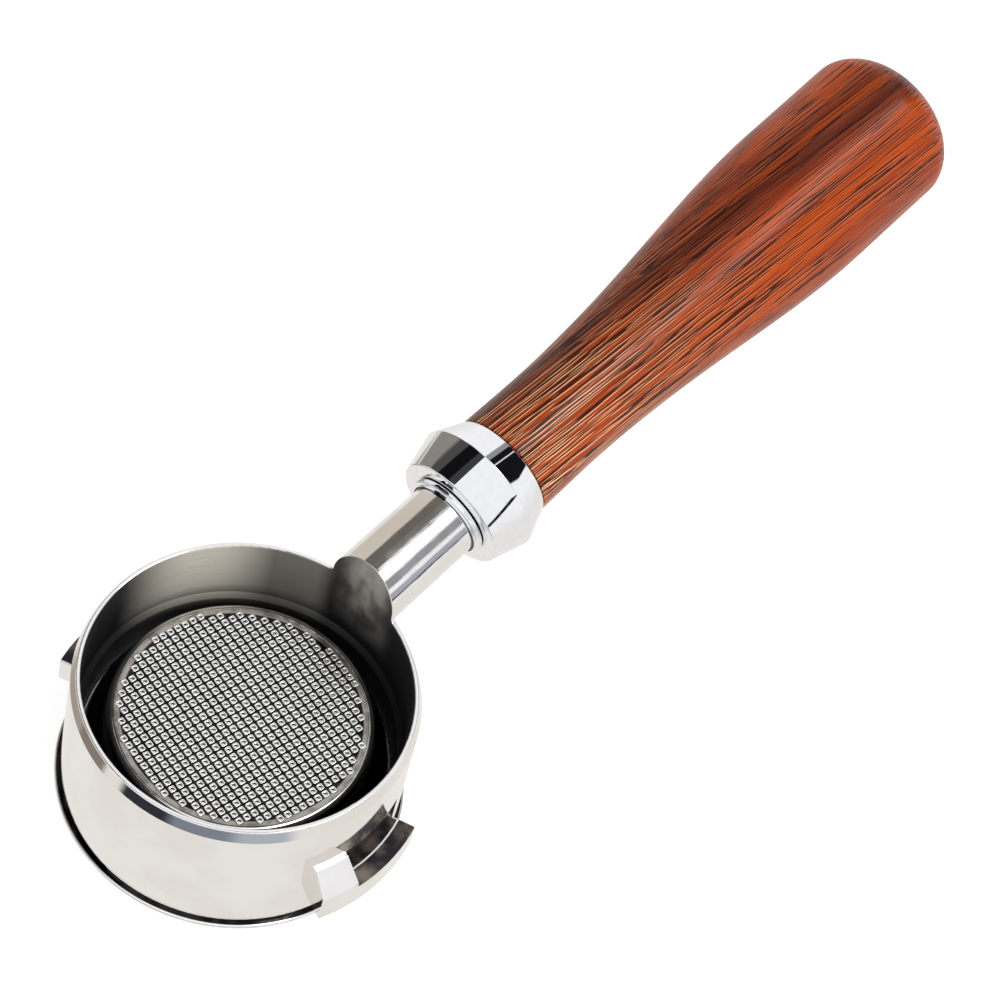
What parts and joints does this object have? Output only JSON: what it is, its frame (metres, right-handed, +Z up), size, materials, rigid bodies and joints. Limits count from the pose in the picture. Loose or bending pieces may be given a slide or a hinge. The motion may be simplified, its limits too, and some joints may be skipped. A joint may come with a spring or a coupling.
{
  "type": "bottomless portafilter",
  "caption": "Open-bottomed espresso portafilter, standing mouth down: a steel holder ring with bayonet lugs, a lift-out filter basket and a turned wooden handle.",
  "frame": {"origin": "centre of the flat underside of the basket's rim, which is the plane the part stands on with its mouth down", "axes": "+Z up along the ring's axis, from the rim towards the perforated floor and the open end of the ring; +X out along the handle's side; +Y completes the right-handed frame, through one lug. In use the part is turned over, so that +Z points down"},
  "size_m": [0.2289, 0.078, 0.0809],
  "materials": {
    "polished_steel": "polished",
    "satin_steel": "satin",
    "spring_steel": "satin",
    "chrome_trim": "mirror",
    "brass": "machined",
    "lacquered_wood": "gloss lacquer"
  },
  "bodies": {
    "holder": {"holder_body": "polished_steel", "seat_ring": "chrome_trim", "ferrule": "chrome_trim", "handle_stud": "spring_steel", "handle_insert": "brass", "grip": "lacquered_wood"},
    "spring": {"retaining_spring": "spring_steel"},
    "basket": {"filter_basket": "satin_steel"}
  },
  "joints": [
    {"name": "spring_turn", "type": "hinge", "parent": "holder", "child": "spring", "pos_m": [0, 0, 0.008], "axis": [0, 0, 1], "continuous": true},
    {"name": "basket_lift_out", "type": "slide", "parent": "spring", "child": "basket", "axis": [0, 0, -1], "range_m": [0, 0.03]}
  ]
}
